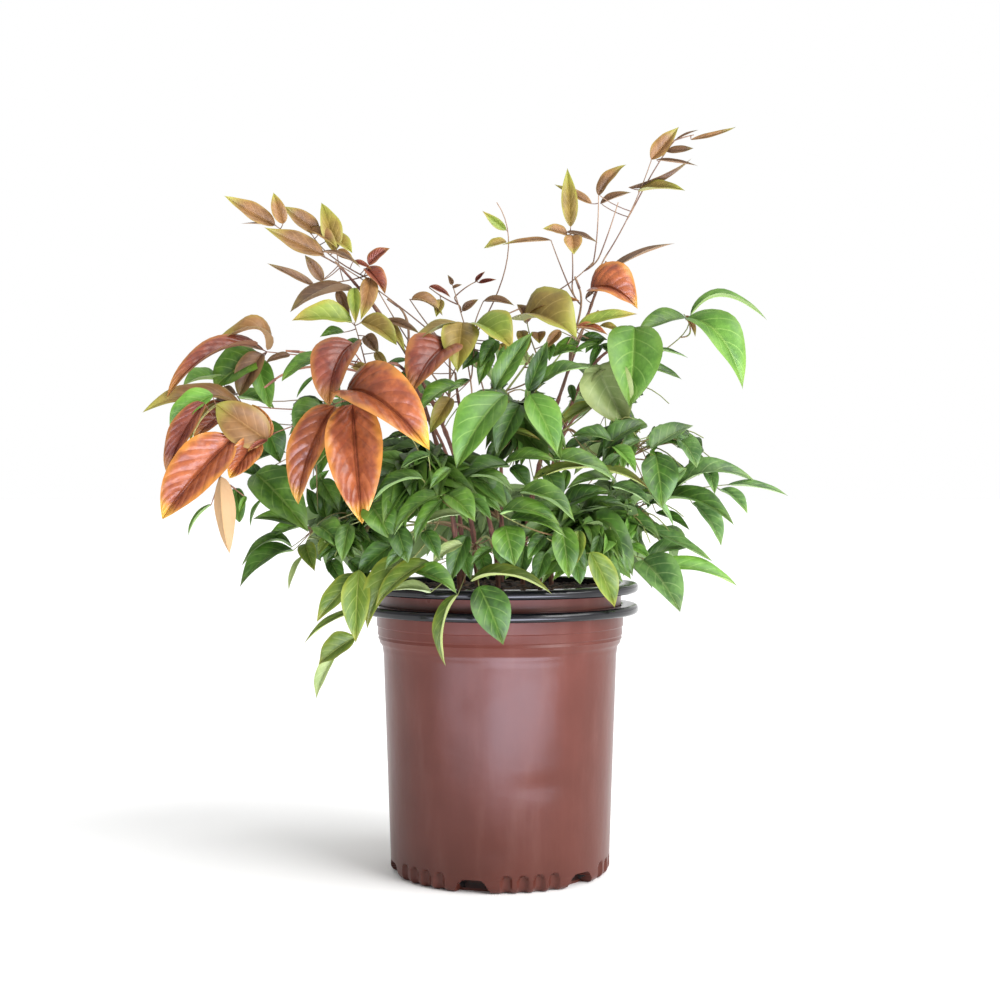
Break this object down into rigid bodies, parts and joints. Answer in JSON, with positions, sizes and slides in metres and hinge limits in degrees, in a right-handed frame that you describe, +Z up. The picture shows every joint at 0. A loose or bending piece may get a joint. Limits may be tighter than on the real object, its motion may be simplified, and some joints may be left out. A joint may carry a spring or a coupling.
{
  "type": "potted heavenly bamboo shrub",
  "caption": "Young clump of heavenly bamboo canes with bronze, copper and green compound leaves, in a stack of thin round nursery pots.",
  "frame": {"origin": "middle of the outer pot's flat underside", "axes": "+Z up along the pot's axis, +X to the plant's right, -Y to its front"},
  "size_m": [0.384, 0.2958, 0.457],
  "materials": {
    "pot_brown": "thin blown pot plastic, soft gloss",
    "pot_lip": "glossy black rolled lip",
    "bark_mix": "rough damp bark potting mix",
    "cane": "ribbed red-brown cane",
    "bough": "smooth red leaf stalk",
    "leaf_bronze": "young bronze leaf, satin",
    "leaf_copper": "copper leaf, glossy, orange edge",
    "leaf_olive": "olive young leaf, satin",
    "leaf_lime": "lime young leaf, satin",
    "leaf_green": "green leaf, waxy gloss",
    "leaf_dark": "deep green leaf, waxy gloss"
  },
  "bodies": {
    "root": {"bough_back_centre_low": "bough", "bough_back_left_low": "bough", "bough_back_right_low": "bough", "bough_bronze_centre": "bough", "bough_copper_left": "bough", "bough_copper_left_low": "bough", "bough_copper_right": "bough", "bough_droop_left": "bough", "bough_front_rim": "bough", "bough_front_rim_right": "bough", "bough_green_centre": "bough", "bough_green_front": "bough", "bough_green_inner_right": "bough", "bough_green_left": "bough", "bough_green_left_low": "bough", "bough_green_right": "bough", "bough_green_right_low": "bough", "bough_left_mid": "bough", "bough_top_centre": "bough", "bough_upright": "bough", "cane_1": "cane", "cane_2": "cane", "cane_3": "cane", "cane_4": "cane", "cane_5": "cane", "cane_6": "cane", "cane_7": "cane", "cane_8": "cane", "foliage_back_centre_high": "leaf_green", "foliage_back_centre_low": "leaf_dark", "foliage_back_left_high": "leaf_green", "foliage_back_left_low": "leaf_dark", "foliage_back_right_high": "leaf_green", "foliage_back_right_low": "leaf_dark", "foliage_bronze_centre": "leaf_lime", "foliage_copper_front": "leaf_copper", "foliage_copper_left": "leaf_copper", "foliage_copper_left_low": "leaf_copper", "foliage_copper_right": "leaf_bronze", "foliage_droop_left": "leaf_green", "foliage_front_rim": "leaf_green", "foliage_front_rim_right": "leaf_green", "foliage_green_centre": "leaf_green", "foliage_green_front": "leaf_green", "foliage_green_inner_right": "leaf_green", "foliage_green_left": "leaf_green", "foliage_green_left_low": "leaf_dark", "foliage_green_right": "leaf_dark", "foliage_green_right_low": "leaf_green", "foliage_left_mid": "leaf_olive", "foliage_lime_right": "leaf_lime", "foliage_olive_top": "leaf_olive", "foliage_top_centre": "leaf_bronze", "foliage_top_left": "leaf_bronze", "foliage_top_right": "leaf_bronze", "foliage_upright": "leaf_bronze", "inner_pot": "pot_brown", "outer_pot": "pot_brown", "soil": "bark_mix"}
  },
  "joints": []
}
